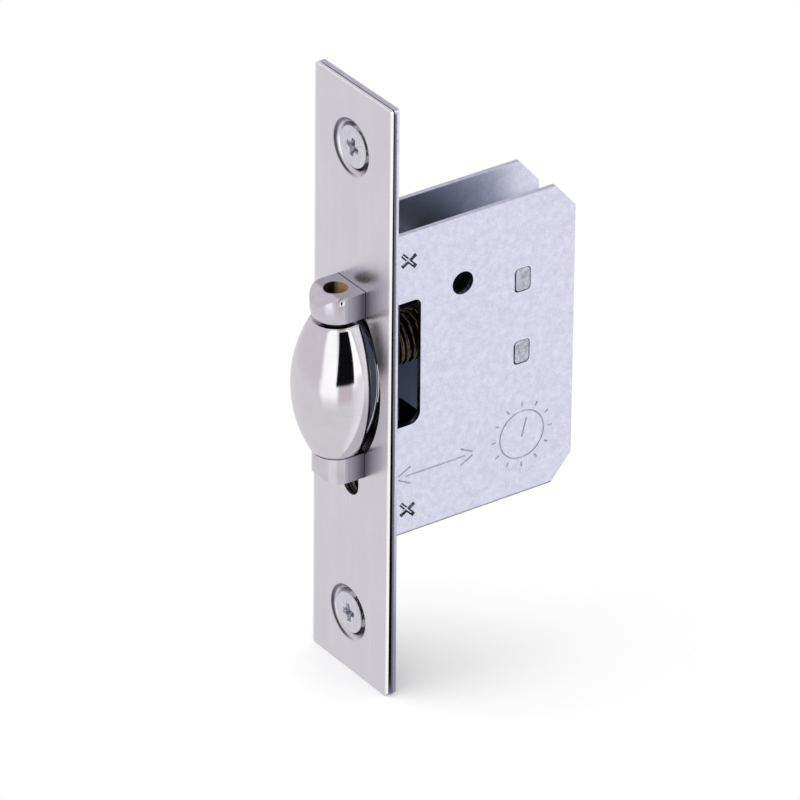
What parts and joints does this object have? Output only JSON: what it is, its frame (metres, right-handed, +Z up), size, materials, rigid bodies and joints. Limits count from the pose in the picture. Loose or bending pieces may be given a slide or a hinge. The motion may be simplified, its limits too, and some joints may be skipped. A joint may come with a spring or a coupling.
{
  "type": "roller latch",
  "caption": "Mortice roller latch: a barrel roller in a sprung fork stands out of a tall faceplate, with a slim two-plate case behind.",
  "frame": {"origin": "middle of the latch's overall box, with the roller at rest", "axes": "+X across the faceplate, +Y from the roller into the door, +Z up along the faceplate"},
  "size_m": [0.023, 0.0548, 0.117],
  "materials": {
    "satin_plate": "satin nickel plating on steel sheet",
    "zinc_sheet": "zinc plated steel, matt and slightly mottled",
    "bright_chrome": "cast metal, chrome plated",
    "satin_chrome": "turned steel, satin chrome plated",
    "zinc_screw": "bright zinc plated screw",
    "plain_steel": "plain bright steel",
    "spring_steel": "oiled spring steel"
  },
  "bodies": {
    "case": {"forend_plate": "zinc_sheet", "outer_faceplate": "satin_plate", "faceplate_screw_upper": "zinc_screw", "faceplate_screw_lower": "zinc_screw", "case_side_right": "zinc_sheet", "case_side_left": "zinc_sheet", "front_block_upper": "zinc_sheet", "front_block_lower": "zinc_sheet", "rear_spacer": "zinc_sheet", "roller_spring": "spring_steel"},
    "adjuster": {"adjusting_screw": "zinc_screw"},
    "block": {"adjusting_block": "plain_steel"},
    "fork": {"roller_fork": "bright_chrome", "roller_axle": "plain_steel", "guide_rod": "plain_steel", "rod_clip": "spring_steel"},
    "roller": {"roller": "satin_chrome"}
  },
  "joints": [
    {"name": "adjuster_turn", "type": "hinge", "parent": "case", "child": "adjuster", "pos_m": [0, -0.01395, -0.0203], "axis": [0, 1, 0], "range_deg": [0, 1440]},
    {"name": "block_slide", "type": "slide", "parent": "case", "child": "block", "axis": [0, 1, 0], "range_m": [-0.002, 0]},
    {"name": "fork_slide", "type": "slide", "parent": "block", "child": "fork", "axis": [0, 1, 0], "range_m": [0, 0.005], "stiffness_N_per_m": 970, "springref_m": -0.01, "deforming": ["roller_spring"]},
    {"name": "roller_spin", "type": "hinge", "parent": "fork", "child": "roller", "pos_m": [0, -0.0194, 0.0013], "axis": [0, 0, 1], "continuous": true}
  ],
  "couplings": [
    {"joint": "adjuster_turn", "follows": "block_slide", "rad_per_m": -12566}
  ]
}
